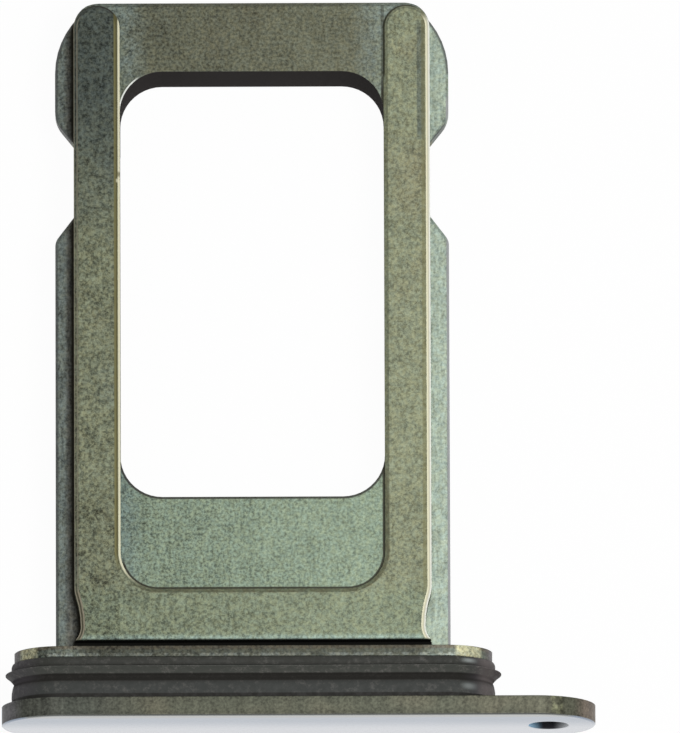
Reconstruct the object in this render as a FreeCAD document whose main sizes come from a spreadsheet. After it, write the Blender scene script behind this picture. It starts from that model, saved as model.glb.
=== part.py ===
import FreeCAD, Part
import math
import os

import Sketcher

# A card tray of a phone, in millimetres.
# The origin is the middle of the cap's outer face. +Y runs into the phone, along the tray,
# +Z is up, and the contact side of the tray is on top. The card lies on the underside.

os.makedirs("parts", exist_ok=True)
doc = FreeCAD.newDocument("CardTray")
sheet = doc.addObject("Spreadsheet::Sheet", "Sizes")

SIZES = (
    # the card and its seat, on the underside
    ("card_width", 8.8, "width of the card"),
    ("card_length", 12.3, "length of the card, along the tray"),
    ("card_thickness", 0.67, "thickness of the card"),
    ("card_gap", 0.05, "play on each side of the card"),
    ("card_sink", 0.03, "how far the card lies inside the underside"),
    ("card_corner_cut", 1.65, "leg of the seat's clipped corner"),
    ("seat_corner", 0.7, "radius of the seat's other corners"),
    ("card_ledge", 0.93, "width of card that bears on the ledge at each side"),
    ("card_shelf", 2.0, "length of card that bears on the sill"),
    ("seat_stop", 1.17, "distance from the seat's far wall to the window's far end"),
    # the plate that carries the card
    ("side_wall", 0.3, "wall between the seat and the plate's side"),
    ("tray_thickness", 2.24, "height of the plate over its rails"),
    ("tray_offset", 1.2, "distance from the cap's middle to the plate's middle"),
    ("outer_corner", 0.7, "radius of the plate's inner corners, seen from above"),
    ("edge_break", 0.11, "bevel along the plate's edges"),
    ("foot_bar", 1.39, "bar between the root groove and the channel"),
    ("crossbar", 1.88, "bar beyond the window"),
    # the channel between the rails, and the window, which is as wide
    ("channel_depth", 0.2, "how far the channel's floor lies below the rails"),
    ("channel_corner", 1.0, "radius of the channel's closed corners"),
    ("sill_length", 2.51, "channel floor between the foot bar and the window"),
    ("window_corner", 1.12, "radius of the window's corners"),
    ("rail_setback", 0.1, "how far the rail tips stop short of the crossbar"),
    # the wings, which slide in the phone's rails
    ("wing_reach", 0.5, "how far a wing stands out from the plate's side"),
    ("wing_top", 0.45, "height of a wing's top above the tray's middle"),
    ("wing_thickness", 0.6, "thickness of a wing"),
    ("wing_break", 0.07, "bevel along a wing's upper edge"),
    ("tab_start", 1.82, "distance from the inner end to the tab's widest place"),
    ("tab_round", 2.2, "radius of the tab's leading edge"),
    ("tab_land", 1.31, "straight stretch of the tab"),
    ("tab_slope", 0.62, "length of the slope behind the tab"),
    ("tab_corner", 0.8, "radius between the tab's straight stretch and slope"),
    ("notch_length", 1.99, "latch notch between the tab and the long wing"),
    ("wing_slope", 0.66, "length of the slope that leads to the long wing"),
    ("wing_corner", 0.4, "radius at the start of the long wing"),
    # the root of the plate
    ("groove_width", 0.19, "width of the groove across the root"),
    ("groove_depth", 0.45, "depth of the groove across the root"),
    ("waist_depth", 0.17, "depth of the hollow in each side, near the root"),
    ("waist_place", 0.56, "distance from the flange to the hollow's deepest place"),
    ("waist_rise", 0.39, "length of the hollow's short side, towards the flange"),
    ("waist_run", 0.94, "length of the hollow's long side, away from the flange"),
    ("waist_blend", 0.9, "radius where that hollow runs out into the side"),
    # the flange and neck
    ("flange_width", 12.72, "width of the flange"),
    ("flange_height", 2.5, "height of the flange"),
    ("flange_thickness", 0.305, "thickness of the flange"),
    ("flange_edge", 0.05, "rounding of the flange's rim"),
    ("neck_height", 1.7, "height of the neck"),
    ("neck_seat", 0.2, "how deep the neck sits in the cap"),
    ("neck_gap", 0.02, "play round the neck, in the cap and in the seal"),
    # the seal
    ("seal_length", 1.135, "distance between the cap and the flange"),
    ("seal_proud", 0.05, "how far the edges of the seal's band stand out past the flange"),
    ("seal_band", 0.215, "length of the rounded band beside the flange"),
    ("seal_swell", 0.03, "how far the band and the flank swell between their edges"),
    ("seal_lip", 0.19, "height of the lip above the band's edges"),
    ("seal_rise", 0.055, "length of the lip's steep side"),
    ("seal_crest", 0.015, "flat on top of the lip"),
    ("seal_slope", 0.22, "length of the lip's hollow slope"),
    ("seal_hollow", 0.7, "height of the hollow slope's centre above the valley"),
    ("seal_dip", 0.03, "depth of the valley below the band's edges"),
    ("seal_valley", 0.05, "length of the valley's flat bottom"),
    ("seal_step", 0.08, "length of the short rise from the valley to the flank"),
    # the cap
    ("cap_width", 15.8, "width of the cap"),
    ("cap_height", 3.2, "height of the cap"),
    ("cap_thickness", 0.52, "thickness of the cap"),
    ("cap_edge", 0.06, "rounding of the cap's outer rim"),
    ("eject_inset", 1.25, "distance from the cap's end to the eject hole's middle"),
    ("eject_bore", 0.84, "diameter of the eject hole"),
    ("eject_rim", 0.16, "rounding of the eject hole's mouth"),
)

for row, (alias, number, note) in enumerate(SIZES, start=1):
    sheet.set("A%d" % row, note)
    sheet.set("B%d" % row, str(number))
    sheet.setAlias("B%d" % row, alias)
doc.recompute()


class Length:
    # A length with its number and the expression that binds it to the sheet.

    def __init__(self, text, value):
        self.text = text
        self.value = value

    def __add__(self, other):
        return Length("(%s + %s)" % (self.text, other.text), self.value + other.value)

    def __sub__(self, other):
        return Length("(%s - %s)" % (self.text, other.text), self.value - other.value)

    def __mul__(self, other):
        other = plain(other)
        return Length("(%s * %s)" % (self.text, other.text), self.value * other.value)

    def __truediv__(self, other):
        other = plain(other)
        return Length("(%s / %s)" % (self.text, other.text), self.value / other.value)

    def __neg__(self):
        return Length("(0 - %s)" % self.text, -self.value)


def plain(number):
    # A bare number as a Length, for doubling and halving.
    return number if isinstance(number, Length) else Length(str(number), float(number))


def hypotenuseLeg(hypotenuse, leg):
    # The other leg of a right triangle.
    square = hypotenuse * hypotenuse - leg * leg
    return Length("sqrt(%s)" % square.text, math.sqrt(square.value))


def size(alias):
    return Length("Sizes.%s" % alias, float(sheet.get(alias)))


ZERO = Length("0", 0.0)
NEAR = 1e-3  # how near a point is to count as being in place

# Places along the tray, from the cap's outer face inwards.
capBack = size("cap_thickness")
sealEnd = capBack + size("seal_length")
flangeEnd = sealEnd + size("flange_thickness")
grooveEnd = flangeEnd + size("groove_width")
channelStart = grooveEnd + size("foot_bar")
windowStart = channelStart + size("sill_length")
seatStart = windowStart - size("card_shelf")
seatEnd = seatStart + size("card_length") + size("card_gap") * 2
windowEnd = seatEnd + size("seat_stop")
innerEnd = windowEnd + size("crossbar")
tipEnd = innerEnd - size("rail_setback")

# Half widths and heights about the tray's own middle.
seatHalf = size("card_width") / 2 + size("card_gap")
plateHalf = seatHalf + size("side_wall")
channelHalf = seatHalf - size("card_ledge")
railWidth = plateHalf - channelHalf
plateTop = size("tray_thickness") / 2
channelFloor = plateTop - size("channel_depth")

# The flange, the neck and the seal are round about the same two ends.
endReach = size("flange_width") / 2 - size("flange_height") / 2
neckWidth = endReach * 2 + size("neck_height")


def point(x, y):
    return FreeCAD.Vector(x, y, 0)


def planeSketch(body, name, role, offset):
    # An empty sketch on one of the body's own origin planes, moved along that plane's normal.
    sketch = body.newObject("Sketcher::SketchObject", name)
    plane = [feature for feature in body.Origin.OriginFeatures if feature.Role == role][0]
    sketch.AttachmentSupport = [(plane, "")]
    sketch.MapMode = "FlatFace"
    sketch.setExpression("AttachmentOffset.Base.z", offset.text)
    return sketch


def levelSketch(body, name, height):
    return planeSketch(body, name, "XY_Plane", height)


def crossSketch(body, name, along):
    # The XZ plane's normal is -Y, so a place along the tray is a negative offset.
    return planeSketch(body, name, "XZ_Plane", -along)


def bindConstraint(sketch, constraint, length):
    index = sketch.addConstraint(constraint)
    sketch.setExpression("Constraints[%d]" % index, length.text)


def placePoint(sketch, geometry, end, x, y):
    across = Sketcher.Constraint("DistanceX", -1, 1, geometry, end, x.value)
    bindConstraint(sketch, across, x)
    upwards = Sketcher.Constraint("DistanceY", -1, 1, geometry, end, y.value)
    bindConstraint(sketch, upwards, y)


def outline(sketch, corners, arcs=None):
    # A closed outline through the corners. A side is straight, unless arcs gives the height
    # (the sketch's Y) of the centre that its arc is struck from.
    arcs = arcs or {}
    ends = []
    for side, (x, y) in enumerate(corners):
        toX, toY = corners[(side + 1) % len(corners)]
        if side not in arcs:
            line = Part.LineSegment(point(x.value, y.value), point(toX.value, toY.value))
            ends.append((sketch.addGeometry(line, False), 1, 2))
            continue
        level = arcs[side].value
        rise = (toY.value - level) ** 2 - (y.value - level) ** 2
        run = toX.value - x.value
        middle = (x.value + toX.value) / 2 + rise / (2 * run)
        start = math.atan2(y.value - level, x.value - middle)
        finish = math.atan2(toY.value - level, toX.value - middle)
        radius = math.hypot(x.value - middle, y.value - level)
        anticlockwise = math.sin(finish - start) > -1e-9  # a half circle also runs this way
        first, last = (start, finish) if anticlockwise else (finish, start)
        circle = Part.Circle(point(middle, level), FreeCAD.Vector(0, 0, 1), radius)
        index = sketch.addGeometry(Part.ArcOfCircle(circle, first, last), False)
        ends.append((index, 1, 2) if anticlockwise else (index, 2, 1))
        centre = Sketcher.Constraint("DistanceY", -1, 1, index, 3, level)
        bindConstraint(sketch, centre, arcs[side])
    for side, (index, start, finish) in enumerate(ends):
        nextIndex, nextStart, unused = ends[(side + 1) % len(ends)]
        sketch.addConstraint(Sketcher.Constraint("Coincident", index, finish, nextIndex, nextStart))
        placePoint(sketch, index, start, *corners[side])


def rectangle(sketch, halfWidth, low, high):
    outline(sketch, [(-halfWidth, low), (halfWidth, low), (halfWidth, high), (-halfWidth, high)])


def stadium(sketch, width, height):
    # Two level sides joined by half circles, about the plane's origin.
    radius = height / 2
    reach = width / 2 - radius
    upright = FreeCAD.Vector(0, 0, 1)
    quarter = math.pi / 2
    rightCircle = Part.Circle(point(reach.value, 0), upright, radius.value)
    leftCircle = Part.Circle(point(-reach.value, 0), upright, radius.value)
    right = sketch.addGeometry(Part.ArcOfCircle(rightCircle, -quarter, quarter), False)
    left = sketch.addGeometry(Part.ArcOfCircle(leftCircle, quarter, 3 * quarter), False)
    topLine = Part.LineSegment(point(reach.value, radius.value), point(-reach.value, radius.value))
    lowLine = Part.LineSegment(point(-reach.value, -radius.value), point(reach.value, -radius.value))
    top = sketch.addGeometry(topLine, False)
    low = sketch.addGeometry(lowLine, False)
    for one, oneEnd, other, otherEnd in (
        (right, 2, top, 1),
        (top, 2, left, 1),
        (left, 2, low, 1),
        (low, 2, right, 1),
    ):
        sketch.addConstraint(Sketcher.Constraint("Tangent", one, oneEnd, other, otherEnd))
    sketch.addConstraint(Sketcher.Constraint("Horizontal", top))
    placePoint(sketch, right, 3, reach, ZERO)
    placePoint(sketch, left, 3, -reach, ZERO)
    bindConstraint(sketch, Sketcher.Constraint("Radius", right, radius.value), radius)


def circle(sketch, x, y, radius):
    shape = Part.Circle(point(x.value, y.value), FreeCAD.Vector(0, 0, 1), radius.value)
    index = sketch.addGeometry(shape, False)
    placePoint(sketch, index, 3, x, y)
    bindConstraint(sketch, Sketcher.Constraint("Radius", index, radius.value), radius)


def pad(body, name, sketch, length, reverse=False):
    feature = body.newObject("PartDesign::Pad", name)
    feature.Profile = sketch
    feature.setExpression("Length", length.text)
    feature.Reversed = reverse
    doc.recompute()
    return feature


def pocket(body, name, sketch, depth=None, reverse=False):
    # With no depth, the cut goes right through.
    feature = body.newObject("PartDesign::Pocket", name)
    feature.Profile = sketch
    if depth is None:
        feature.Type = "ThroughAll"
    else:
        feature.setExpression("Length", depth.text)
    feature.Reversed = reverse
    doc.recompute()
    return feature


def mirrored(body, name, original, role):
    feature = body.newObject("PartDesign::Mirrored", name)
    plane = [item for item in body.Origin.OriginFeatures if item.Role == role][0]
    feature.Originals = [original]
    feature.MirrorPlane = (plane, [""])
    body.Tip = feature
    doc.recompute()
    return feature


def edgeNames(feature, wanted):
    edges = enumerate(feature.Shape.Edges, start=1)
    names = ["Edge%d" % number for number, edge in edges if wanted(edge)]
    if not names:
        raise RuntimeError("%s has no such edge" % feature.Name)
    return names


def uprightAt(*places):
    # Picks the upright edges that stand over the given places of the plan.
    def wanted(edge):
        start = edge.Vertexes[0].Point
        finish = edge.Vertexes[-1].Point
        level = math.hypot(start.x - finish.x, start.y - finish.y)
        if level > NEAR or abs(start.z - finish.z) < NEAR:
            return False
        return any(math.hypot(start.x - x.value, start.y - y.value) < NEAR for x, y in places)
    return wanted


def flatAt(height, near=lambda centre: True):
    # Picks the edges that lie level at one height.
    def wanted(edge):
        box = edge.BoundBox
        level = abs(box.ZMin - height.value) < NEAR and abs(box.ZMax - height.value) < NEAR
        return level and near(edge.CenterOfMass)
    return wanted


def flatAcross(along, small=lambda box: True):
    # Picks the edges that lie in one plane across the tray.
    def wanted(edge):
        box = edge.BoundBox
        inPlane = abs(box.YMin - along.value) < NEAR and abs(box.YMax - along.value) < NEAR
        return inPlane and small(box)
    return wanted


def clearOfRoot(centre):
    # The edges against the flange stay sharp.
    return centre.y > flangeEnd.value + NEAR


def dress(body, kind, name, base, wanted, length):
    # A fillet or a chamfer on the wanted edges of the feature before it.
    feature = body.newObject("PartDesign::" + kind, name)
    feature.Base = (base, edgeNames(base, wanted))
    feature.setExpression("Radius" if kind == "Fillet" else "Size", length.text)
    doc.recompute()
    return feature


def newBody(name, label):
    body = doc.addObject("PartDesign::Body", name)
    body.Label = label
    return body


def makeTrayFrame():
    body = newBody("TrayFrame", "tray_frame")
    makePlate(body)
    makeRim(body)
    makeWings(body)
    makeFlangeAndNeck(body)
    cutWindowAndSeat(body)
    body.setExpression("Placement.Base.x", (-size("tray_offset")).text)
    return body


def makePlate(body):
    # The plate up to the channel's floor, with its inner end beveled and its corners rounded.
    sketch = levelSketch(body, "PlateOutline", -plateTop)
    rectangle(sketch, plateHalf, flangeEnd, innerEnd)
    last = pad(body, "Plate", sketch, size("tray_thickness") - size("channel_depth"))
    farEdge = flatAt(channelFloor, lambda centre: centre.y > innerEnd.value - NEAR)
    last = dress(body, "Chamfer", "InnerEndBevel", last, farEdge, size("edge_break"))
    corners = uprightAt((plateHalf, innerEnd), (-plateHalf, innerEnd))
    last = dress(body, "Fillet", "OuterCorners", last, corners, size("outer_corner"))
    dress(body, "Chamfer", "LowerBevel", last, flatAt(-plateTop, clearOfRoot), size("edge_break"))


def makeRim(body):
    # The two rails and the foot bar are one raised rim round the channel, round at both tips.
    sketch = levelSketch(body, "RimOutline", channelFloor)
    tipCentre = tipEnd - railWidth / 2
    rimOutline = [
        (-plateHalf, flangeEnd),
        (plateHalf, flangeEnd),
        (plateHalf, tipCentre),
        (channelHalf, tipCentre),
        (channelHalf, channelStart),
        (-channelHalf, channelStart),
        (-channelHalf, tipCentre),
        (-plateHalf, tipCentre),
    ]
    outline(sketch, rimOutline, {2: tipCentre, 6: tipCentre})
    last = pad(body, "Rim", sketch, size("channel_depth"))
    closed = uprightAt((channelHalf, channelStart), (-channelHalf, channelStart))
    last = dress(body, "Fillet", "ChannelCorners", last, closed, size("channel_corner"))

    # A hollow in each side near the root, down to the wing's top, runs out into the side.
    sketch = levelSketch(body, "WaistOutline", plateTop)
    deepest = flangeEnd + size("waist_place")
    waistStart = deepest - size("waist_rise")
    waistEnd = deepest + size("waist_run")
    clear = plateHalf + size("wing_reach") * 2
    # Both sides of the hollow are arcs that run along the tray at its deepest place.
    for hand in (1, -1):
        hollow = [
            (clear * hand, waistStart),
            (plateHalf * hand, waistStart),
            ((plateHalf - size("waist_depth")) * hand, deepest),
            (plateHalf * hand, waistEnd),
            (clear * hand, waistEnd),
        ]
        outline(sketch, hollow, {1: deepest, 2: deepest})
    last = pocket(body, "Waist", sketch, plateTop - size("wing_top"))
    runOut = uprightAt((plateHalf, waistEnd), (-plateHalf, waistEnd))
    last = dress(body, "Fillet", "WaistBlend", last, runOut, size("waist_blend"))
    dress(body, "Chamfer", "RimBevel", last, flatAt(plateTop, clearOfRoot), size("edge_break"))

    # The groove across the root, in front of the flange.
    sketch = levelSketch(body, "GrooveOutline", plateTop)
    rectangle(sketch, plateHalf + size("wing_reach"), flangeEnd, grooveEnd)
    pocket(body, "RootGroove", sketch, size("groove_depth"))


def makeWings(body):
    # Each wing has a leading tab, a latch notch and a long slide that reaches the flange.
    # Their outlines start in the plate's wall, so that they join it.
    root = plateHalf - size("side_wall") / 2
    edge = plateHalf + size("wing_reach")
    tabPeak = innerEnd - size("tab_start")
    tabBack = tabPeak - size("tab_land")
    notchEnd = tabBack - size("tab_slope")
    notchStart = notchEnd - size("notch_length")
    slidePeak = notchStart - size("wing_slope")
    # The tab's leading edge is an arc that meets its straight stretch without a corner.
    rise = hypotenuseLeg(size("tab_round"), size("tab_round") - (edge - root))
    sketch = levelSketch(body, "WingOutline", size("wing_top") - size("wing_thickness"))
    slideOutline = [
        (root, flangeEnd),
        (edge, flangeEnd),
        (edge, slidePeak),
        (plateHalf, notchStart),
        (root, notchStart),
    ]
    outline(sketch, slideOutline)
    tabOutline = [
        (root, notchEnd),
        (plateHalf, notchEnd),
        (edge, tabBack),
        (edge, tabPeak),
        (root, tabPeak + rise),
    ]
    outline(sketch, tabOutline, {3: tabPeak})
    wing = pad(body, "Wing", sketch, size("wing_thickness"))
    last = mirrored(body, "OtherWing", wing, "YZ_Plane")
    tabs = uprightAt((edge, tabBack), (-edge, tabBack))
    last = dress(body, "Fillet", "TabCorners", last, tabs, size("tab_corner"))
    slides = uprightAt((edge, slidePeak), (-edge, slidePeak))
    last = dress(body, "Fillet", "SlideCorners", last, slides, size("wing_corner"))
    outer = flatAt(size("wing_top"), lambda centre: abs(centre.x) > plateHalf.value + NEAR)
    dress(body, "Chamfer", "WingBevel", last, outer, size("wing_break"))


def makeFlangeAndNeck(body):
    sketch = crossSketch(body, "FlangeOutline", sealEnd)
    stadium(sketch, size("flange_width"), size("flange_height"))
    last = pad(body, "Flange", sketch, size("flange_thickness"), reverse=True)
    dress(body, "Fillet", "FlangeRim", last, flatAcross(sealEnd), size("flange_edge"))
    # The neck carries the seal and sits in the cap's back.
    sketch = crossSketch(body, "NeckOutline", capBack - size("neck_seat"))
    stadium(sketch, neckWidth, size("neck_height"))
    pad(body, "Neck", sketch, size("seal_length") + size("neck_seat"), reverse=True)


def cutWindowAndSeat(body):
    # The window shows the card's contacts, and is as wide as the channel.
    sketch = levelSketch(body, "WindowOutline", plateTop)
    rectangle(sketch, channelHalf, windowStart, windowEnd)
    last = pocket(body, "Window", sketch)
    corners = uprightAt(
        (channelHalf, windowStart),
        (-channelHalf, windowStart),
        (channelHalf, windowEnd),
        (-channelHalf, windowEnd),
    )
    dress(body, "Fillet", "WindowCorners", last, corners, size("window_corner"))

    # The card's seat is open to the underside. One corner is clipped, as the card's is.
    sketch = levelSketch(body, "SeatOutline", -plateTop)
    # The clip stands off the card's own clip by the same gap as the walls.
    cut = size("card_corner_cut") + size("card_gap") * (2 - math.sqrt(2))
    seatOutline = [
        (-seatHalf, seatStart),
        (seatHalf, seatStart),
        (seatHalf, seatEnd),
        (cut - seatHalf, seatEnd),
        (-seatHalf, seatEnd - cut),
    ]
    outline(sketch, seatOutline)
    depth = size("card_thickness") + size("card_sink")
    last = pocket(body, "CardSeat", sketch, depth, reverse=True)
    square = uprightAt((-seatHalf, seatStart), (seatHalf, seatStart), (seatHalf, seatEnd))
    dress(body, "Fillet", "SeatCorners", last, square, size("seat_corner"))


def swellDrop(length):
    # How far below its ends a swelling arc has its centre.
    swell = size("seal_swell")
    return (length * length / 4 - swell * swell) / (swell * 2)


def makeSealGasket():
    body = newBody("SealGasket", "seal_gasket")
    # The seal's section stands where its straight run meets its right-hand half circle.
    bore = size("neck_height") / 2 + size("neck_gap")
    band = size("flange_height") / 2 + size("seal_proud")
    lip = band + size("seal_lip")
    valley = band - size("seal_dip")
    bandStart = sealEnd - size("seal_band")
    crestEnd = bandStart - size("seal_rise")
    crestStart = crestEnd - size("seal_crest")
    valleyEnd = crestStart - size("seal_slope")
    valleyStart = valleyEnd - size("seal_valley")
    flankEnd = valleyStart - size("seal_step")
    # The band and the flank swell by the same small height, each as one arc over its length.
    bandCentre = band - swellDrop(size("seal_band"))
    flankCentre = band - swellDrop(flankEnd - capBack)
    sketch = planeSketch(body, "SealSection", "YZ_Plane", endReach)
    section = [
        (capBack, bore),
        (sealEnd, bore),
        (sealEnd, band),
        (bandStart, band),
        (crestEnd, lip),
        (crestStart, lip),
        (valleyEnd, valley),
        (valleyStart, valley),
        (flankEnd, band),
        (capBack, band),
    ]
    hollowCentre = valley + size("seal_hollow")
    outline(sketch, section, {2: bandCentre, 5: hollowCentre, 8: flankCentre})
    end = body.newObject("PartDesign::Revolution", "RightEnd")
    end.Profile = sketch
    end.ReferenceAxis = (sketch, ["H_Axis"])
    end.Angle = 180
    doc.recompute()
    run = pad(body, "UpperRun", sketch, endReach * 2, reverse=True)
    mirrored(body, "LeftEnd", end, "YZ_Plane")
    mirrored(body, "LowerRun", run, "XY_Plane")
    body.setExpression("Placement.Base.x", (-size("tray_offset")).text)
    return body


def makeFaceCap():
    body = newBody("FaceCap", "face_cap")
    sketch = crossSketch(body, "CapOutline", ZERO)
    stadium(sketch, size("cap_width"), size("cap_height"))
    last = pad(body, "Cap", sketch, size("cap_thickness"), reverse=True)
    dress(body, "Fillet", "CapRim", last, flatAcross(ZERO), size("cap_edge"))

    # The neck's seat in the cap's back.
    sketch = crossSketch(body, "NeckSeatOutline", capBack)
    sketch.setExpression("AttachmentOffset.Base.x", (-size("tray_offset")).text)
    play = size("neck_gap") * 2
    stadium(sketch, neckWidth + play, size("neck_height") + play)
    pocket(body, "NeckSeat", sketch, size("neck_seat"), reverse=True)

    # The hole for the eject pin, with a rounded mouth.
    sketch = crossSketch(body, "EjectOutline", ZERO)
    ejectX = size("cap_width") / 2 - size("eject_inset")
    circle(sketch, ejectX, ZERO, size("eject_bore") / 2)
    last = pocket(body, "EjectHole", sketch)
    mouth = flatAcross(ZERO, lambda box: box.XLength < size("eject_bore").value + NEAR)
    dress(body, "Fillet", "EjectMouth", last, mouth, size("eject_rim"))
    return body


def checkFeatures():
    # Stops if a feature failed, or if a cut or a pad left the solid as it was.
    for item in doc.Objects:
        if "Invalid" in item.State or "Error" in item.State:
            raise RuntimeError("%s failed: %s" % (item.Name, item.State))
        if item.TypeId not in ("PartDesign::Pad", "PartDesign::Pocket"):
            continue
        before = item.BaseFeature.Shape.Volume if item.BaseFeature else 0.0
        change = item.Shape.Volume - before
        grows = item.TypeId == "PartDesign::Pad"
        if abs(change) < 1e-6 or (change > 0) != grows:
            raise RuntimeError("%s changed the volume by %.6f" % (item.Name, change))


bodies = [makeTrayFrame(), makeSealGasket(), makeFaceCap()]
doc.recompute()
checkFeatures()
for body in bodies:
    shape = body.Shape
    if shape.isNull() or not shape.isValid() or len(shape.Solids) != 1:
        raise RuntimeError("%s is not one valid solid" % body.Label)
    shape.exportStep("parts/%s.step" % body.Label)
    print("%s: %.2f cubic mm" % (body.Label, shape.Volume))
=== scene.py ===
import bpy
import math
from mathutils import Matrix, Vector


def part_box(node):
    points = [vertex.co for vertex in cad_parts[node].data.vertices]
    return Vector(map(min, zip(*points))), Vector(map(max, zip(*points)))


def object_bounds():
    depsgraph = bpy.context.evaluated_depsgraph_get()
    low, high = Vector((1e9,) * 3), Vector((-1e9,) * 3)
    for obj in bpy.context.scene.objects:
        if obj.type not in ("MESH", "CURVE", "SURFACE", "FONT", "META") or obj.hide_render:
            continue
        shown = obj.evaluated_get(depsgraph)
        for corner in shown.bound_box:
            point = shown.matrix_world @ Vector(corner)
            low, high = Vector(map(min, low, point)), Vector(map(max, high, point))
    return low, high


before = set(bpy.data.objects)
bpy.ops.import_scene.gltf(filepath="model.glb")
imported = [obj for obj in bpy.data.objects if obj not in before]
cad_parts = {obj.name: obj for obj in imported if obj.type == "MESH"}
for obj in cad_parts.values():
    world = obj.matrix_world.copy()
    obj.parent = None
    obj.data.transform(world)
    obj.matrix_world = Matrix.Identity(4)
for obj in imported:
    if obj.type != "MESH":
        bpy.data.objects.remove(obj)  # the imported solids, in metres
cadBounds = [list(corner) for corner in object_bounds()]
print("card tray: frame loaded")

mm = 0.001
trayMiddle = (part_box("tray_frame")[0].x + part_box("tray_frame")[1].x) / 2
white = (1, 1, 1, 1)
bevelSamples = 6


def addNode(tree, kind, inputs=None, **settings):
    made = tree.nodes.new(kind)
    for name, value in settings.items():
        setattr(made, name, value)
    for name, value in (inputs or {}).items():
        if isinstance(value, bpy.types.NodeSocket):
            tree.links.new(value, made.inputs[name])
        else:
            made.inputs[name].default_value = value
    return made


def calculate(tree, operation, first, second=0.0):
    return addNode(tree, "ShaderNodeMath", {0: first, 1: second}, operation=operation).outputs[0]


def either(tree, first, second):
    return calculate(tree, "MAXIMUM", first, second)


def minus(tree, first, second):
    return calculate(tree, "SUBTRACT", first, second)


def together(tree, *masks):
    result = masks[0]
    for mask in masks[1:]:
        result = calculate(tree, "MULTIPLY", result, mask)
    return result


def summed(tree, *values):
    result = values[0]
    for value in values[1:]:
        result = calculate(tree, "ADD", result, value)
    return result


def fade(tree, value, start, end, low=0.0, high=1.0):
    # Goes smoothly from low to high as the value goes from start to end.
    if start > end:
        start, end, low, high = end, start, high, low
    inputs = {"Value": value, "From Min": start, "From Max": end, "To Min": low, "To Max": high}
    return addNode(tree, "ShaderNodeMapRange", inputs, interpolation_type="SMOOTHSTEP").outputs[0]


def within(tree, value, low, high, soft):
    # One between low and high, fading out over soft on both sides.
    rise = fade(tree, value, low - soft, low)
    fall = fade(tree, value, high, high + soft, 1.0, 0.0)
    return together(tree, rise, fall)


def maskOf(tree, at, ranges):
    # The product of the ranges. A range is the name of a value and its numbers: two fade in from the
    # first to the second, and two more say from what to what. Three numbers reach from the first to
    # the second and fade out over the third. A plain number is a share.
    masks = []
    for item in ranges:
        if isinstance(item, tuple):
            name, *numbers = item
            shape = within if len(numbers) == 3 else fade
            item = shape(tree, at[name], *numbers)
        masks.append(item)
    return together(tree, *masks)


def blendColours(tree, factor, first, second, how="MIX"):
    inputs = {0: factor, 6: first, 7: second}
    return addNode(tree, "ShaderNodeMix", inputs, data_type="RGBA", blend_type=how).outputs[2]


def paint(tree, colour, newColour, *masks):
    # Lays a new colour over the old one where all the masks are one.
    return blendColours(tree, together(tree, *masks), colour, newColour)


def paintLayers(tree, at, colour, values, layers):
    # Lays each named colour over the ones before it, at its named place.
    for colourName, placeName in layers:
        colour = paint(tree, colour, values[colourName], maskOf(tree, at, values[placeName]))
    return colour


def lighten(tree, colour, light):
    grey = addNode(tree, "ShaderNodeCombineXYZ", {0: light, 1: light, 2: light}).outputs[0]
    return blendColours(tree, 1.0, colour, grey, "MULTIPLY")


def lengthOf(tree, *parts):
    joined = addNode(tree, "ShaderNodeCombineXYZ", dict(enumerate(parts))).outputs[0]
    measure = addNode(tree, "ShaderNodeVectorMath", {0: joined}, operation="LENGTH")
    return measure.outputs["Value"]


def noise(tree, place, scale, detail, roughness, distortion=0.0):
    inputs = {"Vector": place, "Scale": scale, "Detail": detail}
    inputs.update({"Roughness": roughness, "Distortion": distortion})
    return addNode(tree, "ShaderNodeTexNoise", inputs).outputs["Fac"]


def streaks(tree, place, turn, stretch, scale, detail, roughness):
    # Fine lines that run one way, as a brush or a cutter leaves them.
    inputs = {"Vector": place, "Rotation": (0, 0, math.radians(turn)), "Scale": (1.0, stretch, 1.0)}
    turned = addNode(tree, "ShaderNodeMapping", inputs)
    return noise(tree, turned.outputs[0], scale, detail, roughness)


def awayFrom(tree, across, along, box):
    # The distance from a rectangle with rounded corners, less than nothing inside it.
    halfWidth, low, high, corner = box
    fromSide = minus(tree, calculate(tree, "ABSOLUTE", across), halfWidth - corner)
    fromCentre = calculate(tree, "ABSOLUTE", minus(tree, along, (low + high) / 2))
    fromEnd = minus(tree, fromCentre, (high - low) / 2 - corner)
    outside = lengthOf(tree, either(tree, fromSide, 0.0), either(tree, fromEnd, 0.0))
    inside = calculate(tree, "MINIMUM", either(tree, fromSide, fromEnd), 0.0)
    return minus(tree, calculate(tree, "ADD", outside, inside), corner)


def startMaterial(name):
    # With the material come the values that its masks are made of, by name.
    material = bpy.data.materials.new(name)
    material.use_nodes = True
    tree = material.node_tree
    tree.nodes.clear()
    coordinates = addNode(tree, "ShaderNodeTexCoord")
    inputs = {0: coordinates.outputs["Object"], "Scale": 1 / mm}
    place = addNode(tree, "ShaderNodeVectorMath", inputs, operation="SCALE").outputs[0]
    x, y, z = addNode(tree, "ShaderNodeSeparateXYZ", {0: place}).outputs
    across = minus(tree, x, trayMiddle / mm)
    at = {"x": x, "y": y, "z": z, "across": across}
    at["fromMiddle"] = calculate(tree, "ABSOLUTE", across)
    facing = addNode(tree, "ShaderNodeSeparateXYZ", {0: coordinates.outputs["Normal"]})
    at["upward"] = facing.outputs[2]
    return material, tree, place, at


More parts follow.
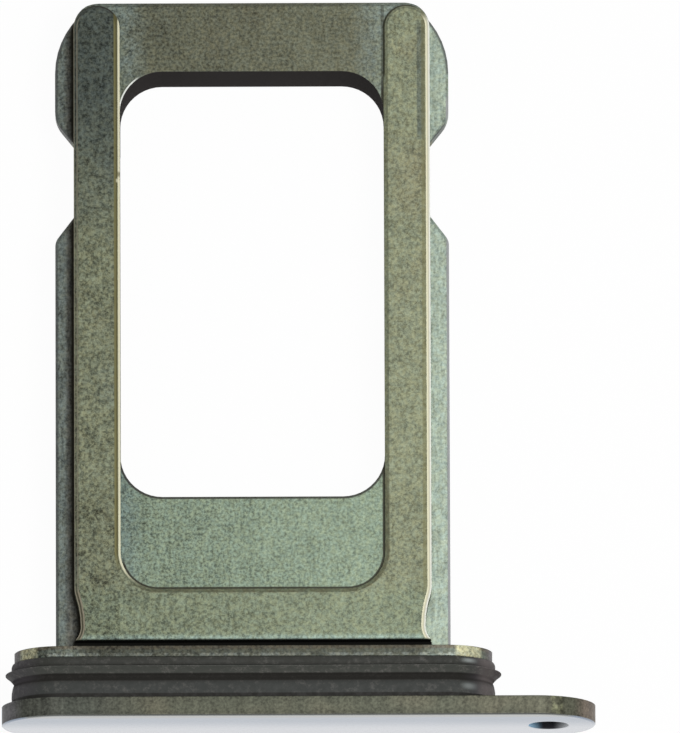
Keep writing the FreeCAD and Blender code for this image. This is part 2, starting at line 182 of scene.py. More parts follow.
def finishMaterial(tree, values, colour, roughness, height, metallic):
    radius = values["edgeRadius"] * mm
    edges = addNode(tree, "ShaderNodeBevel", {"Radius": radius}, samples=bevelSamples)
    bump = addNode(
        tree,
        "ShaderNodeBump",
        {
            "Height": height,
            "Normal": edges.outputs[0],
            "Distance": values["bumpDistance"] * mm,
            "Strength": 1.0,
        },
    )
    shader = addNode(
        tree,
        "ShaderNodeBsdfPrincipled",
        {
            "Base Color": colour,
            "Roughness": roughness,
            "Metallic": metallic,
            "Specular IOR Level": values["specular"],
            "Normal": bump.outputs[0],
        },
    )
    addNode(tree, "ShaderNodeOutputMaterial", {"Surface": shader.outputs[0]})


# A place is a list of ranges for maskOf. Its values are x, y along the tray from the cap's face, z
# upwards, across from the plate's middle, fromMiddle on both sides of it, and fromWindow and
# fromChannel away from their edges, all in millimetres, and upward, one on a face that looks up.
anodised = {
    "oliveColour": (0.188, 0.204, 0.133, 1),
    "slateColour": (0.140, 0.166, 0.140, 1),
    "slatePlace": [("cloud", 0.50, 0.70, 0.0, 0.6), ("across", 1.0, -2.0)],
    "brownColour": (0.178, 0.164, 0.100, 1),
    "brownPlace": [("cloud", 0.48, 0.30, 0.0, 0.5)],
    "footColour": (0.176, 0.204, 0.137, 1),
    "footPlace": [("y", 3.9, 3.2)],
    "darkColour": (0.056, 0.070, 0.066, 1),
    # painted shade: the inner end of the left rail darkest
    "darkEndPlace": [("across", -2.8, -3.5), ("y", 12.0, 17.5), ("z", 0.98, 1.04), 0.85],
    "darkBandPlace": [("across", 4.43, 4.58, 0.04), ("y", 15.9, 18.7, 0.3), ("z", 0.98, 1.04), 0.6],
    "crossbarColour": (0.108, 0.110, 0.078, 1),
    "crossbarPlace": [("fromMiddle", 3.5, 3.2), ("y", 17.2, 17.6), 0.8],
    "turnedColour": (0.165, 0.195, 0.165, 1),
    "turnedPlace": [
        ("z", 0.8, 0.94, 0.05),
        ("y", 16.6, 17.2),
        ("fromMiddle", 2.6, 3.4),
        ("patches", 0.30, 0.55, 0.45, 1.0),
    ],
    "sillColour": (0.196, 0.246, 0.179, 1),
    "sillPlace": [("z", 0.99, 0.94), ("y", 7.3, 6.9), ("y", 3.4, 3.5)],
    "sillSideShadeColour": (0.145, 0.195, 0.185, 1),
    "sillSidePlace": [("across", -2.7, -3.5, 0.0, 0.6)],
    "wingPlace": [("z", 0.60, 0.52), ("y", 1.95, 2.0), ("fromMiddle", 4.45, 4.5)],
    "wingTopPlace": [("upward", 0.3, 0.6)],
    "wingSidePlace": [("fromMiddle", 4.80, 4.84)],
    "rightWingColour": (0.278, 0.332, 0.272, 1),
    "rightWingPlace": [("across", -1.0, 1.0)],
    # painted shade: the left wing darker than the right, darkest at its foot as painted shadow
    "shadedLeftWingColour": (0.146, 0.170, 0.150, 1),
    "leftWingFootShadowColour": (0.104, 0.106, 0.092, 1),
    "leftWingFootShadowPlace": [("across", -5.06, -4.88)],
    "flangeColour": (0.130, 0.146, 0.117, 1),
    "flangePlace": [("y", 1.97, 1.95)],
    "flangeFootColour": (0.165, 0.190, 0.158, 1),
    "flangeFootPlace": [("y", 1.71, 1.69)],
    "flangeBackColour": (0.130, 0.121, 0.092, 1),
    "flangeBackPlace": [("y", 1.84, 1.90)],
    "flangeEndColour": (0.150, 0.140, 0.140, 1),
    "flangeEndPlace": [("fromMiddle", 6.1, 6.3)],
    # painted highlight on each of the flange's curved ends
    "brassColour": (0.52, 0.51, 0.33, 1),
    "flangeHighlightRightPlace": [("across", 5.46, 5.98, 0.14)],
    "flangeHighlightLeftPlace": [("across", -6.10, -5.82, 0.14)],
    "flangeHighlightBreakPlace": [("patches", 0.25, 0.45)],
    "flangeHighlightShare": 0.8,
    "flangeEdgeHighlightColour": (0.34, 0.37, 0.325, 1),
    "flangeEdgeHighlightPlace": [
        ("y", 1.70, 1.745, 0.03),
        ("z", 1.1, 1.15),
        ("mottle", 0.40, 0.55, 0.0, 0.7),
    ],
    "footEdgeHighlightColour": (0.255, 0.330, 0.275, 1),
    "footEdgePlace": [("y", 2.34, 2.16), ("z", 0.98, 1.02), ("fromMiddle", 4.7, 4.4)],
    "footGreenPlace": [("y", 1.96, 2.0)],
    "footGreenShare": 0.9,
    "footLinePlace": [("y", 2.20, 2.16)],
    "footLineShare": 0.6,
    "paintedShadeLineColour": (0.026, 0.023, 0.015, 1),
    "paintedShadeInsideColour": (0.030, 0.026, 0.025, 1),
    "insidePlace": [("fromWindow", 0.02, 0.005), ("z", 0.915, 0.88)],
    "lowerEdgePlace": [
        ("fromWindow", -0.02, 0.05, 0.02),
        ("y", 9.0, 7.0),
        ("z", 0.6, 0.96, 0.02),
        0.85,
    ],
    "windowCornerHighlightColour": (0.70, 0.72, 0.68, 1),
    "windowCornerPlace": [
        ("fromWindow", 0.0, 0.03, 0.012),
        ("across", -2.95, -3.2),
        ("y", 16.4, 16.7),
        ("z", 0.6, 0.96, 0.02),
    ],
    "wallFootPlace": [
        ("fromChannel", -0.06, 0.012, 0.014),
        ("z", 0.9, 0.99, 0.02),
        ("y", 17.6, 17.0, 0.5, 1.0),
    ],
    "wallFootShare": 0.9,
    "unlinedPlace": [("across", -3.0, -3.2), ("y", 4.2, 4.5)],  # where the wall's foot has no line
    "railEndPlace": [
        ("upward", 0.9, 0.8),
        ("z", 0.93, 1.045, 0.01),
        ("y", 17.3, 17.6),
        ("across", -4.3, 4.3, 0.15),
        0.8,
    ],
    "grooveShadeColour": (0.006, 0.006, 0.005, 1),
    "groovePlace": [("y", 1.955, 2.165, 0.01), ("z", 0.5, 1.0, 0.02)],
    "bevelPlace": [("upward", 0.55, 0.85, 0.08), ("z", 0.98, 1.0), ("y", 2.14, 2.2)],
    "rightBevelPlace": [("across", 4.2, 4.35), ("y", 19.2, 18.9)],
    "leftBevelPlace": [("across", -4.2, -4.35), ("y", 19.2, 18.9)],
    "leftBevelShadeColour": (0.105, 0.088, 0.058, 1),
    "leftBevelHighlightColour": (0.42, 0.38, 0.28, 1),
    "upperLinePlace": [("z", 1.075, 1.09)],
    "lowerLinePlace": [("z", 1.045, 1.025)],
    "pastHollowPlace": [("y", 3.7, 3.3)],
    "brownByHollow": [("pastHollow", 0.0, 1.0, 0.0, 0.75)],
    "linesByHollow": [("pastHollow", 0.0, 1.0, 0.35, 0.8)],
    "thinColour": (0.150, 0.138, 0.058, 1),  # brown beside a bright painted highlight edge, and the painted shadow past the nick
    "thinRightPlace": [("across", 4.54, 4.61, 0.03), ("z", 0.965, 0.99), ("y", 3.1, 3.6), 0.45],
    "thinLeftPlace": [
        ("fromChannel", 0.080, 0.15, 0.02),
        ("across", -2.9, -3.3),
        ("z", 0.965, 0.99),
        ("y", 3.9, 4.6),
        0.92,
    ],
    "thinSideColour": (0.180, 0.150, 0.090, 1),
    "thinSidePlace": [
        ("fromChannel", 0.0, 0.10, 0.05),
        ("across", -3.2, -2.9),
        ("y", 9.0, 5.0),
        ("z", 0.965, 0.99),
        ("mottle", 0.35, 0.60, 0.0, 0.45),
    ],
    "bareHighlightColour": (0.88, 0.85, 0.62, 1),
    "bareLeftHighlightPlace": [
        ("fromChannel", 0.0, 0.040, 0.036),
        ("across", -2.2, -2.9),
        ("y", 3.5, 4.2),
        ("z", 0.965, 0.99),
    ],
    "bareSpecklePlace": [("speckle", 0.25, 0.42, 0.8, 1.0)],
    "whiteHighlightColour": (0.97, 0.98, 0.88, 1),  # the lower line of the right-hand bevel
    "whiteHighlightPlace": [("z", 1.07, 1.03)],
    "betweenLines": [("lines", 0.0, 1.0, 0.78, 1.0)],
    "leftHalfPlace": [("across", 0.0, -1.0)],
    "nickPlace": [("across", -3.605, -3.55, 0.03), ("y", 14.60, 14.63, 0.06), ("z", 0.965, 0.99), 0.7],
    "pastNickPlace": [
        ("across", -3.59, -3.52, 0.02),
        ("y", 14.78, 14.82, 0.09),
        ("z", 0.965, 0.99),
        0.7,
    ],
    "tabArcMiddle": (3.05, 17.68),  # of the tab's leading edge
    "tabSlope": (4.75, 15.74, 0.778, 0.628),  # a point of its slanting edge, and the way it faces
    "leadingPlace": [("fromArc", 2.12, 2.16), ("pastArc", -0.1, 0.0)],
    "trailingPlace": [("pastSlope", -0.05, -0.02), ("y", 15.3, 16.7, 0.1)],
    "rimTopPlace": [("upward", 0.2, 0.4)],
    "rimShadeColour": (0.120, 0.125, 0.125, 1),
    "leftRimPlace": [("fromMiddle", 5.17, 5.20), ("across", 1.0, -1.0, 0.0, 0.6)],
    "rimShare": 0.75,
    "rightRimHighlightColour": (0.44, 0.44, 0.46, 1),
    "rightRimPlace": [("fromMiddle", 5.17, 5.20), ("across", -1.0, 1.0), ("y", 17.2, 16.8)],
    "rightRimShare": 0.8,
    "hollowY": 2.52,
    "hollowDepth": 0.17,
    "hollowBend": (0.943, 0.757),  # on its near side, and how much less on its far side
    "railFootPlace": [("pastRail", -4.79, -4.60, 0.06)],
    "railFootLevel": [("z", 0.38, 0.42)],
    "railFootShare": 0.85,
    "windowBox": (3.52, 6.05, 17.62, 1.12),  # half width, low, high and corner radius
    "channelBox": (3.52, 3.54, 40.0, 1.0),
    # Each noise has its number to the millimetre, detail, roughness and distortion.
    "cloudNoise": (0.42, 2.0, 0.4),
    "patchNoise": (1.7, 3.0, 0.55),
    "mottleNoise": (4.5, 3.0, 0.6, 0.3),
    "tintNoise": (7.8, 2.0, 0.6),
    "speckleNoise": (13.0, 3.0, 0.70),
    "brushStreaks": (38, 0.22, 9.0, 3.0, 0.6),  # the turn in degrees and the stretch come first
    "warmTint": (1.03, 1.0, 0.95, 1),
    "coolTint": (0.97, 1.0, 1.05, 1),
    "coolPlace": [("tint", 0.35, 0.65)],
    # What each place adds to the colour's brightness or takes from it: grain from the noises, and
    # painted light in the last three, brighter towards the right, darker on the rails near the root
    # and brighter on the channel's bevels.
    "lights": [
        [("speckle", 0.30, 0.70, -0.48, 0.48), ("wing", 0.0, 1.0, 1.0, 0.75)],
        [("mottle", 0.32, 0.68, -0.07, 0.07)],
        [("patches", 0.32, 0.68, -0.08, 0.08)],
        [("brushed", 0.35, 0.65, -0.08, 0.08), ("wing", 0.0, 1.0, 1.0, 2.2)],
        [("across", -5.5, 5.5, -0.21, 0.15)],
        [("fromMiddle", 3.6, 4.75, 0.1), ("y", 2.4, 5.5, 1.2), -0.12],
        [("fromChannel", 0.0, 0.10, 0.015), ("z", 0.99, 1.02), 0.35],
    ],
    "metallic": 0.4,
    "bareHighlightMetallic": 0.15,
    "roughness": [("speckle", 0.3, 0.7, 0.42, 0.58)],
    "bareHighlightSmoother": -0.12,
    "streakHeight": 0.6,
    "bumpDistance": 0.005,
    "edgeRadius": 0.03,
    "specular": 0.1,
}


def dyedMetal(tree, at):
    # The rails and bars are olive, with wide slate and brown clouds in the dye. The inner end of the
    # left rail is painted darkest and bluest as painted shade. The crossbar is brown, and slate beside
    # the rails, where the cutter turned.
    layers = (
        ("slateColour", "slatePlace"),
        ("brownColour", "brownPlace"),
        ("footColour", "footPlace"),
        ("darkColour", "darkEndPlace"),
        ("darkColour", "darkBandPlace"),
        ("crossbarColour", "crossbarPlace"),
        ("turnedColour", "turnedPlace"),
    )
    return paintLayers(tree, at, anodised["oliveColour"], anodised, layers)


def milledMetal(tree, at, colour):
    # The milled faces are greener and paler: the sill of the window, and the wings.
    sill = maskOf(tree, at, anodised["sillPlace"])
    colour = paint(tree, colour, anodised["sillColour"], sill)
    # The sill's left side is painted darker as painted shade.
    sillSide = maskOf(tree, at, anodised["sillSidePlace"])
    colour = paint(tree, colour, anodised["sillSideShadeColour"], sill, sillSide)
    wingTop = maskOf(tree, at, anodised["wingTopPlace"])
    wingSide = maskOf(tree, at, anodised["wingSidePlace"])
    wing = together(tree, maskOf(tree, at, anodised["wingPlace"]), either(tree, wingTop, wingSide))
    # The left wing is a darker copy of the right one as painted shade of the left rail, darkest at its
    # foot as painted shadow.
    foot = maskOf(tree, at, anodised["leftWingFootShadowPlace"])
    shadedLeftWing = blendColours(tree, foot, anodised["shadedLeftWingColour"], anodised["leftWingFootShadowColour"])
    onRight = maskOf(tree, at, anodised["rightWingPlace"])
    wingColour = blendColours(tree, onRight, shadedLeftWing, anodised["rightWingColour"])
    return paint(tree, colour, wingColour, wing), wing


def flangeMetal(tree, at, colour):
    # The flange is darker. Painted highlights lie at its curved ends, brass-coloured and broken up,
    # and a pale broken painted highlight runs along its edge near its foot.
    flange = maskOf(tree, at, anodised["flangePlace"])
    colour = paint(tree, colour, anodised["flangeColour"], flange)
    foot = maskOf(tree, at, anodised["flangeFootPlace"])
    colour = paint(tree, colour, anodised["flangeFootColour"], foot)
    for name in ("flangeBack", "flangeEnd"):
        mask = maskOf(tree, at, anodised[name + "Place"])
        colour = paint(tree, colour, anodised[name + "Colour"], flange, mask)
    rightFlangeHighlight = maskOf(tree, at, anodised["flangeHighlightRightPlace"])
    leftFlangeHighlight = maskOf(tree, at, anodised["flangeHighlightLeftPlace"])
    broken = maskOf(tree, at, anodised["flangeHighlightBreakPlace"])
    flangeHighlight = together(tree, either(tree, rightFlangeHighlight, leftFlangeHighlight), broken)
    colour = paint(tree, colour, anodised["brassColour"], flange, flangeHighlight, anodised["flangeHighlightShare"])
    line = maskOf(tree, at, anodised["flangeEdgeHighlightPlace"])
    colour = paint(tree, colour, anodised["flangeEdgeHighlightColour"], line)
    # The foot bar is painted paler and greener along the groove as a painted highlight on its edge,
    # and darker towards the groove as painted shade.
    footEdge = maskOf(tree, at, anodised["footEdgePlace"])
    green = maskOf(tree, at, anodised["footGreenPlace"])
    greenShare = anodised["footGreenShare"]
    colour = paint(tree, colour, anodised["footEdgeHighlightColour"], footEdge, green, greenShare)
    footLine = maskOf(tree, at, anodised["footLinePlace"])
    return paint(tree, colour, anodised["paintedShadeLineColour"], footEdge, footLine, anodised["footLineShare"])


def paintedShadeAndHighlight(tree, at, colour):
    # Painted shade: the window's inner walls and the groove at the root are painted dark, and so are
    # thin lines round the near end of the window, round the foot of the channel's walls and round the
    # rails' inner ends. Painted highlight: one corner of the window is painted bright.
    layers = (("paintedShadeInsideColour", "lowerEdgePlace"), ("windowCornerHighlightColour", "windowCornerPlace"))
    colour = paintLayers(tree, at, colour, anodised, layers)
    wallFoot = maskOf(tree, at, anodised["wallFootPlace"])
    lined = minus(tree, 1.0, maskOf(tree, at, anodised["unlinedPlace"]))
    colour = paint(tree, colour, anodised["paintedShadeLineColour"], wallFoot, lined, anodised["wallFootShare"])
    colour = paint(tree, colour, anodised["paintedShadeLineColour"], maskOf(tree, at, anodised["railEndPlace"]))
    inside = maskOf(tree, at, anodised["insidePlace"])
    colour = paint(tree, colour, anodised["paintedShadeInsideColour"], inside)
    groove = maskOf(tree, at, anodised["groovePlace"])
    return paint(tree, colour, anodised["grooveShadeColour"], groove), either(tree, inside, groove)


def edgeHighlightsAndShade(tree, at, colour):
    # The bright bare lines along the rails' right-facing bevels are painted highlights, drawn as
    # bare metal, less metallic and smoother, and brown lines run beside them.
    thinSide = maskOf(tree, at, anodised["thinSidePlace"])
    colour = paint(tree, colour, anodised["thinSideColour"], thinSide)
    thinRight = maskOf(tree, at, anodised["thinRightPlace"])
    thinLeft = maskOf(tree, at, anodised["thinLeftPlace"])
    colour = paint(tree, colour, anodised["thinColour"], either(tree, thinRight, thinLeft))
    # On the left the bevel is painted brown as painted shade between two fine tan painted highlights;
    # on the right it is a bare painted highlight.
    bevel = maskOf(tree, at, anodised["bevelPlace"])
    rightBevel = maskOf(tree, at, [bevel, *anodised["rightBevelPlace"]])
    leftBevel = maskOf(tree, at, [bevel, *anodised["leftBevelPlace"]])
    at["pastHollow"] = maskOf(tree, at, anodised["pastHollowPlace"])
    upperLine = maskOf(tree, at, anodised["upperLinePlace"])
    lowerLine = maskOf(tree, at, anodised["lowerLinePlace"])
    at["lines"] = either(tree, upperLine, lowerLine)
    brown = maskOf(tree, at, anodised["brownByHollow"])
    colour = paint(tree, colour, anodised["leftBevelShadeColour"], leftBevel, brown)
    tan = maskOf(tree, at, anodised["linesByHollow"])
    colour = paint(tree, colour, anodised["leftBevelHighlightColour"], leftBevel, at["lines"], tan)
    between = maskOf(tree, at, anodised["betweenLines"])
    between = either(tree, between, maskOf(tree, at, anodised["leftHalfPlace"]))
    leftBareHighlight = maskOf(tree, at, anodised["bareLeftHighlightPlace"])
    bareHighlight = maskOf(tree, at, [either(tree, leftBareHighlight, rightBevel), *anodised["bareSpecklePlace"]])
    whiter = maskOf(tree, at, [rightBevel, *anodised["whiteHighlightPlace"]])
    highlightTone = blendColours(tree, whiter, anodised["bareHighlightColour"], anodised["whiteHighlightColour"])
    colour = paint(tree, colour, lighten(tree, highlightTone, between), bareHighlight)
    # A small nick breaks the highlight line of the left rail: a painted shadow just past it, and a
    # painted highlight in it.
    layers = (("thinColour", "pastNickPlace"), ("bareHighlightColour", "nickPlace"))
    return paintLayers(tree, at, colour, anodised, layers), bareHighlight


def wingRims(tree, at, colour, wing):
    # The wings' left outer edges and the tabs' edges are painted greyer than their tops as painted
    # shade, and the right outer edges paler as a painted highlight.
    arcX, arcY = anodised["tabArcMiddle"]
    at["pastArc"] = minus(tree, at["y"], arcY)
    at["fromArc"] = lengthOf(tree, minus(tree, at["fromMiddle"], arcX), at["pastArc"])
    slopeX, slopeY, outward, backward = anodised["tabSlope"]
    slopeOut = together(tree, minus(tree, at["fromMiddle"], slopeX), outward)
    slopeUp = together(tree, minus(tree, at["y"], slopeY), backward)
    at["pastSlope"] = minus(tree, slopeOut, slopeUp)
    rimTop = maskOf(tree, at, anodised["rimTopPlace"])
    leading = maskOf(tree, at, anodised["leadingPlace"])
    outer = either(tree, maskOf(tree, at, anodised["leftRimPlace"]), leading)
    trailing = maskOf(tree, at, anodised["trailingPlace"])
    rim = either(tree, together(tree, outer, rimTop), trailing)
    colour = paint(tree, colour, anodised["rimShadeColour"], wing, rim, anodised["rimShare"])
    rightRim = maskOf(tree, at, anodised["rightRimPlace"])
    share = anodised["rightRimShare"]
    colour = paint(tree, colour, anodised["rightRimHighlightColour"], wing, rightRim, rimTop, share)
    # A dark painted shadow runs along the foot of the left rail, round the hollow near the root.
    fromDeepest = minus(tree, at["y"], anodised["hollowY"])
    nearBend, lessBend = anodised["hollowBend"]
    onFarSide = calculate(tree, "GREATER_THAN", fromDeepest, 0.0)
    bend = minus(tree, nearBend, together(tree, onFarSide, lessBend))
    risen = together(tree, fromDeepest, fromDeepest, bend)
    depth = either(tree, minus(tree, anodised["hollowDepth"], risen), 0.0)
    at["pastRail"] = minus(tree, at["across"], depth)
    foot = maskOf(tree, at, [*anodised["railFootPlace"], wing, *anodised["railFootLevel"]])
    return paint(tree, colour, anodised["paintedShadeLineColour"], foot, anodised["railFootShare"])


def anodisedMetal():
    material, tree, place, at = startMaterial("anodised_olive")
    at["fromWindow"] = awayFrom(tree, at["across"], at["y"], anodised["windowBox"])
    at["fromChannel"] = awayFrom(tree, at["across"], at["y"], anodised["channelBox"])
    at["cloud"] = noise(tree, place, *anodised["cloudNoise"])
    at["patches"] = noise(tree, place, *anodised["patchNoise"])
    at["mottle"] = noise(tree, place, *anodised["mottleNoise"])
    at["tint"] = noise(tree, place, *anodised["tintNoise"])
    at["speckle"] = noise(tree, place, *anodised["speckleNoise"])
    at["brushed"] = streaks(tree, place, *anodised["brushStreaks"])
    colour, wing = milledMetal(tree, at, dyedMetal(tree, at))
    colour = flangeMetal(tree, at, colour)
    at["wing"] = wing
    # The grain, and painted light across the tray, on the rails near the root and on the bevels.
    light = summed(tree, 1.0, *[maskOf(tree, at, ranges) for ranges in anodised["lights"]])
    colour = lighten(tree, colour, light)
    cool = maskOf(tree, at, anodised["coolPlace"])
    warmth = blendColours(tree, cool, anodised["warmTint"], anodised["coolTint"])
    colour = blendColours(tree, 1.0, colour, warmth, "MULTIPLY")
    colour, shadedPlaces = paintedShadeAndHighlight(tree, at, colour)
    colour, bareHighlight = edgeHighlightsAndShade(tree, at, colour)
    colour = wingRims(tree, at, colour, wing)
    metallic = fade(tree, bareHighlight, 0.0, 1.0, anodised["metallic"], anodised["bareHighlightMetallic"])
    metallic = together(tree, metallic, minus(tree, 1.0, shadedPlaces))
    smoothed = together(tree, bareHighlight, anodised["bareHighlightSmoother"])
    roughness = summed(tree, maskOf(tree, at, anodised["roughness"]), smoothed)
    roughness = either(tree, roughness, shadedPlaces)
    height = summed(tree, at["speckle"], together(tree, at["brushed"], anodised["streakHeight"]))
    finishMaterial(tree, anodised, colour, roughness, height, metallic)
    return material


seal = {
    "colour": (0.036, 0.037, 0.032, 1),
    "flankColour": (0.042, 0.045, 0.042, 1),
    "flankPlace": [("y", 1.03, 0.98)],
    "slopeColour": (0.066, 0.069, 0.061, 1),
    "slopePlace": [("y", 1.20, 1.38, 0.02)],
    "valleyColour": (0.018, 0.017, 0.015, 1),
    "valleyPlace": [("y", 1.03, 1.19, 0.04)],
    "endColour": (0.085, 0.076, 0.088, 1),
    "endPlace": [("fromMiddle", 5.5, 6.3), 0.5],
    "rubbedColour": (0.150, 0.128, 0.122, 1),
    "rubbedPlace": [("across", 5.85, 6.2), 0.6],
    "paintedGlintColour": (0.40, 0.44, 0.43, 1),
    "paintedGlintPlace": [("across", 5.72, 5.74, 0.27)],
    "onBandPlace": [("y", 1.54, 1.56, 0.08)],
    "onFlankPlace": [("y", 0.85, 0.87, 0.13), 0.65],
    "paintedGlintShare": 0.5,
    "dustColour": (0.19, 0.18, 0.165, 1),
    "dustPlace": [
        ("dust", 0.50, 0.68, 0.0, 0.6),
        ("valley", 0.0, 1.0, 1.0, 0.2),
        ("slope", 0.0, 1.0, 0.45, 1.0),
    ],
    "besideValleyPlace": [("y", 0.88, 1.04), ("y", 1.10, 1.06), 0.5],
    "besideLipPlace": [("y", 1.39, 1.40), ("y", 1.47, 1.42), 0.5],
    "againstCapPlace": [("y", 0.69, 0.65)],
    "grainNoise": (7.0, 4.0, 0.6),
    "dustNoise": (5.0, 6.0, 0.8),
    "roughness": [("grain", 0.3, 0.7, 0.56, 0.76)],
    "bumpDistance": 0.012,
    "edgeRadius": 0.02,
    "specular": 0.2,
}


def sealRubber():
    material, tree, place, at = startMaterial("seal_rubber")
    at["grain"] = noise(tree, place, *seal["grainNoise"])
    at["dust"] = noise(tree, place, *seal["dustNoise"])
    # The lip's south slope is painted lighter as painted light, and the valley darker as painted
    # shade.
    at["valley"] = maskOf(tree, at, seal["valleyPlace"])
    at["slope"] = maskOf(tree, at, seal["slopePlace"])
    # The right-hand end is painted paler as painted light, with a painted glint where its curve
    # starts.
    names = ("flank", "slope", "valley", "end", "rubbed")
    layers = [(name + "Colour", name + "Place") for name in names]
    colour = paintLayers(tree, at, seal["colour"], seal, layers)
    onBand = maskOf(tree, at, seal["onBandPlace"])
    rubbed = either(tree, onBand, maskOf(tree, at, seal["onFlankPlace"]))
    paintedGlint = maskOf(tree, at, seal["paintedGlintPlace"])
    colour = paint(tree, colour, seal["paintedGlintColour"], paintedGlint, rubbed, seal["paintedGlintShare"])
    # Dust lies thinnest in the valley, and the creases beside the valley, beside the lip and against
    # the cap are painted dark as painted shade.
    layers = (
        ("dustColour", "dustPlace"),
        ("valleyColour", "besideValleyPlace"),
        ("valleyColour", "besideLipPlace"),
        ("valleyColour", "againstCapPlace"),
    )
    colour = paintLayers(tree, at, colour, seal, layers)
    roughness = either(tree, maskOf(tree, at, seal["roughness"]), at["valley"])
    finishMaterial(tree, seal, colour, roughness, at["grain"], 0.0)
    return material


cap = {
    "edgeColour": (0.078, 0.082, 0.059, 1),
    "brassColour": (0.104, 0.100, 0.070, 1),
    "brassPlace": [("cloud", 0.40, 0.68, 0.0, 0.8)],
    "leftColour": (0.052, 0.058, 0.048, 1),
    "leftPlace": [("x", -3.6, -5.8), 0.85],
    "leftCurveColour": (0.096, 0.100, 0.083, 1),
    "leftCurvePlace": [("x", -7.25, -6.5, 0.4), 0.8],
    "leftEndColour": (0.115, 0.110, 0.118, 1),
    "leftEndPlace": [("x", -7.25, -7.7), 0.8],
    "patchColour": (0.22, 0.225, 0.14, 1),
    "patchPlace": [("x", 6.78, 6.96, 0.10), ("mottle", 0.3, 0.6)],
    "rightCurveColour": (0.128, 0.132, 0.095, 1),
    "rightCurvePlace": [("x", 7.0, 7.15), 0.8],
    "rightEndColour": (0.190, 0.150, 0.118, 1),
    "rightEndPlace": [("x", 7.25, 7.65), 0.8],
    "faceColour": (0.29, 0.335, 0.405, 1),
    "facePlace": [("y", 0.05, 0.02)],
    "faceLowColour": (0.55, 0.57, 0.61, 1),
    "faceLowPlace": [("z", 0.9, -0.5)],
    "faceLineColour": (0.31, 0.32, 0.31, 1),
    "faceLinePlace": [("z", 1.15, 1.35)],
    "holeX": 6.65,
    "holePlace": [("fromHole", 0.59, 0.57), ("y", 0.002, 0.01)],
    "boreColour": (0.012, 0.012, 0.016, 1),
    "borePlace": [("y", 0.17, 0.20)],
    "rimBlueColour": (0.30, 0.52, 0.72, 1),
    "rimBluePlace": [("pastHole", -0.12, -0.56)],
    "rimGreyColour": (0.46, 0.48, 0.50, 1),
    "rimGreyPlace": [("pastHole", 0.10, 0.56)],
    "cloudNoise": (0.7, 2.0, 0.45),
    "mottleNoise": (4.0, 3.0, 0.6),
    "speckleNoise": (13.0, 3.0, 0.70),
    "brushStreaks": (0, 0.12, 5.0, 3.0, 0.6),
    # Grain, and in the last two painted shade: the edge darker next to the face and towards the seal.
    "lights": [
        [("speckle", 0.30, 0.70, 0.66, 1.34)],
        [("mottle", 0.32, 0.68, -0.08, 0.08)],
        [("brushed", 0.35, 0.65, -0.13, 0.13)],
        [("y", 0.03, 0.22, -0.20, 0.04)],
        [("y", 0.26, 0.50, 0.0, -0.14)],
    ],
    "roughness": [("y", 0.02, 0.05, 0.14, 0.44)],
    "speckleRoughness": [("speckle", 0.3, 0.7, -0.02, 0.03)],
    "holeRoughness": 0.6,
    "height": [("y", 0.02, 0.05, 0.05, 1.0)],
    "metallic": [("y", 0.02, 0.05, 0.95, 0.4)],
    "bumpDistance": 0.004,
    "edgeRadius": 0.03,
    "specular": 0.15,
}


def capMetal():
    material, tree, place, at = startMaterial("cap_metal")
    at["cloud"] = noise(tree, place, *cap["cloudNoise"])
    at["mottle"] = noise(tree, place, *cap["mottleNoise"])
    at["speckle"] = noise(tree, place, *cap["speckleNoise"])
    at["brushed"] = streaks(tree, place, *cap["brushStreaks"])
    # The edge has brass clouds; it is painted darker on the left as painted shade, and paler at the
    # right-hand patch and towards both curved ends as painted light.
    names = ("brass", "left", "leftCurve", "leftEnd", "patch", "rightCurve", "rightEnd")
    layers = [(name + "Colour", name + "Place") for name in names]
    edge = paintLayers(tree, at, cap["edgeColour"], cap, layers)
    light = summed(tree, *[maskOf(tree, at, ranges) for ranges in cap["lights"]])
    edge = lighten(tree, edge, light)
    # The face is bluish grey near its upper edge, with a greyer line along it, and paler below as a
    # painted reflection.
    layers = (("faceLowColour", "faceLowPlace"), ("faceLineColour", "faceLinePlace"))
    shine = paintLayers(tree, at, cap["faceColour"], cap, layers)
    colour = paint(tree, edge, shine, maskOf(tree, at, cap["facePlace"]))
    # The eject hole is painted dark as painted shade, with its rim painted bluish on one side and grey
    # on the other as painted reflections.
    at["pastHole"] = minus(tree, at["x"], cap["holeX"])
    at["fromHole"] = lengthOf(tree, at["pastHole"], 0.0, at["z"])
    hole = maskOf(tree, at, cap["holePlace"])
    layers = [(name + "Colour", name + "Place") for name in ("rimBlue", "rimGrey", "bore")]
    rim = paintLayers(tree, at, cap["boreColour"], cap, layers)
    colour = paint(tree, colour, rim, hole)
    speckled = maskOf(tree, at, cap["speckleRoughness"])
    roughness = summed(tree, maskOf(tree, at, cap["roughness"]), speckled)
    roughness = either(tree, roughness, together(tree, hole, cap["holeRoughness"]))
    height = maskOf(tree, at, [at["speckle"], *cap["height"]])
    metallic = maskOf(tree, at, [*cap["metallic"], minus(tree, 1.0, hole)])
    finishMaterial(tree, cap, colour, roughness, height, metallic)
    return material


def dressNodes():
    for name, material in (
        ("tray_frame", anodisedMetal()),
        ("seal_gasket", sealRubber()),
        ("face_cap", capMetal()),
    ):
        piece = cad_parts[name]
        piece.data.materials.clear()
        piece.data.materials.append(material)
    print("card tray: finishes on")


stage = {
    "floorSize": 2.0,
    "floorColour": (0.80, 0.80, 0.80, 1),
    "floorGlow": 0.97,  # share of plain white that the camera and reflections see
    "worldLevel": 0.28,
    "keyPlace": (0.0270, -0.0060, 0.1150),
    "keyAim": (-0.001, 0.008, 0),
    "keySize": 0.036,
    "keyPower": 0.105,
    "fillPlace": (-0.03, -0.03, 0.10),
    "fillSize": 0.08,
    "fillPower": 0.008,
}


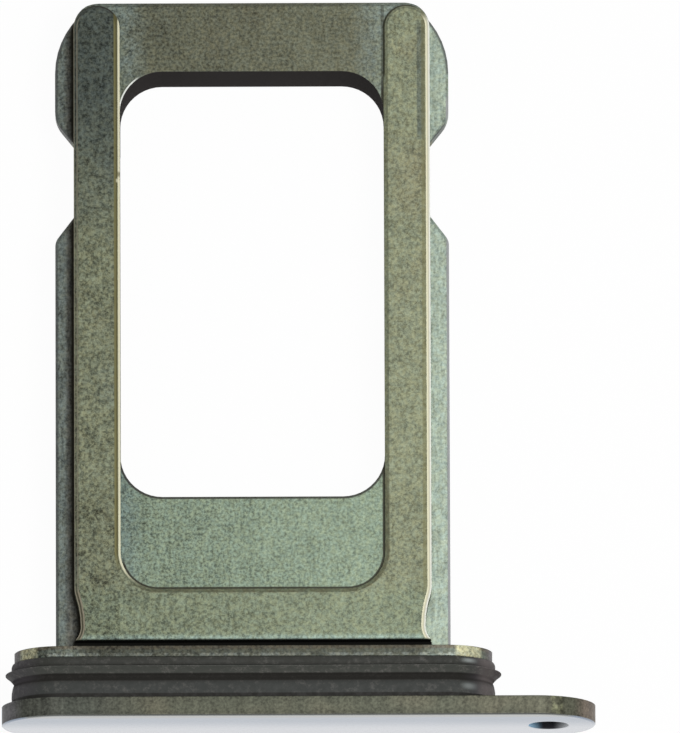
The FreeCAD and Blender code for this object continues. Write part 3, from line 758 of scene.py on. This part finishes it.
def addFloor():
    lowest = cadBounds[0][2]
    bpy.ops.object.select_all(action="DESELECT")
    bpy.ops.mesh.primitive_plane_add(size=stage["floorSize"], location=(0, 0, lowest))
    floor = bpy.context.object
    floor.name = "floor"
    material = bpy.data.materials.new("pale_floor")
    material.use_nodes = True
    tree = material.node_tree
    tree.nodes.clear()
    plain = addNode(tree, "ShaderNodeBsdfDiffuse", {"Color": stage["floorColour"]})
    glow = addNode(tree, "ShaderNodeEmission", {"Color": white, "Strength": 1.0})
    rays = addNode(tree, "ShaderNodeLightPath").outputs
    seen = either(tree, rays["Is Camera Ray"], rays["Is Glossy Ray"])
    seen = either(tree, seen, rays["Is Transmission Ray"])
    inputs = {0: together(tree, seen, stage["floorGlow"]), 1: plain.outputs[0], 2: glow.outputs[0]}
    surface = addNode(tree, "ShaderNodeMixShader", inputs)
    addNode(tree, "ShaderNodeOutputMaterial", {"Surface": surface.outputs[0]})
    floor.data.materials.append(material)


def addLamp(name):
    place = Vector(stage[name + "Place"])
    lamp = bpy.data.lights.new(name, "AREA")
    lamp.shape = "SQUARE"
    lamp.size = stage[name + "Size"]
    lamp.energy = stage[name + "Power"]
    holder = bpy.data.objects.new(name, lamp)
    bpy.context.collection.objects.link(holder)
    holder.visible_camera = False
    holder.location = place
    holder.rotation_euler = (Vector(stage["keyAim"]) - place).to_track_quat("-Z", "Y").to_euler()


def addLight():
    world = bpy.data.worlds.new("studio")
    world.use_nodes = True
    background = world.node_tree.nodes["Background"]
    background.inputs["Color"].default_value = white
    background.inputs["Strength"].default_value = stage["worldLevel"]
    bpy.context.scene.world = world
    addLamp("key")
    addLamp("fill")


view = {
    "pixelsPerMillimetre": 37.5,
    "frameHeight": 733,
    "lens": 1500.0,
    "sensor": 36.0,
    "elevation": 78.7,
    "roll": -0.2,
    "aim": (1.133, 9.758, 0.0),  # millimetres, at the middle of the picture
    "nearest": 0.001,
    "furthest": 20,
}


def addCamera():
    camera = bpy.data.cameras.new("camera")
    camera.lens = view["lens"]
    camera.sensor_width = view["sensor"]
    camera.clip_start = view["nearest"]
    camera.clip_end = view["furthest"]
    holder = bpy.data.objects.new("camera", camera)
    bpy.context.collection.objects.link(holder)
    height = view["frameHeight"] / view["pixelsPerMillimetre"] * mm
    distance = height * view["lens"] / view["sensor"]
    elevation = math.radians(view["elevation"])
    away = Vector((0, -math.cos(elevation), math.sin(elevation)))
    aim = Vector(view["aim"]) * mm
    holder.location = aim + away * distance
    turn = away.to_track_quat("Z", "Y").to_matrix()
    roll = Matrix.Rotation(math.radians(view["roll"]), 3, "Z")
    holder.rotation_euler = (turn @ roll).to_euler()
    bpy.context.scene.camera = holder


dressNodes()
addFloor()
addLight()
addCamera()
bpy.context.scene.view_settings.view_transform = "Standard"
print("card tray: ready")
